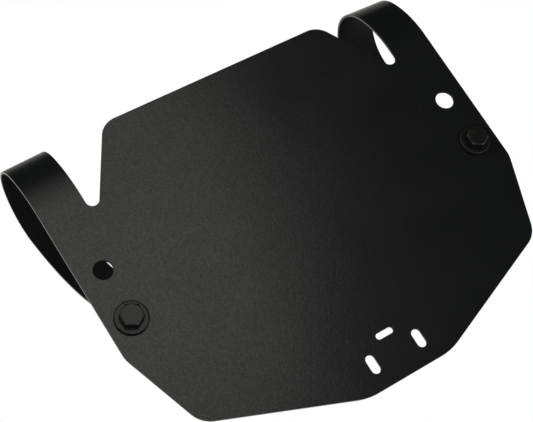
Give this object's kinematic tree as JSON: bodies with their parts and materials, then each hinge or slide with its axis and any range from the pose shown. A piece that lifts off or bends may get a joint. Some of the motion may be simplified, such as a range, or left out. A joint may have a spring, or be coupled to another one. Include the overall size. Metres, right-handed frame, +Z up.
{
  "type": "racing number board",
  "caption": "Many-sided number board folded from thin black sheet, with a strap at each side that loops round a handlebar and is bolted to the board's back.",
  "frame": {"origin": "on the axis of the two handlebar loops, midway between them", "axes": "+X to the right along the handlebar, as seen by someone who faces the board; +Z up towards the top edge; the face of the board looks along -Y and the loops reach back along +Y"},
  "size_m": [0.2222, 0.0552, 0.1841],
  "materials": {
    "sheet": "fine-grained matte black",
    "fastener": "blackened steel"
  },
  "bodies": {
    "root": {"number_board": "sheet", "left_bolt": "fastener", "right_bolt": "fastener", "left_front_washer": "fastener", "right_front_washer": "fastener", "left_rear_washer": "fastener", "right_rear_washer": "fastener", "left_nut": "fastener", "right_nut": "fastener"}
  },
  "joints": []
}
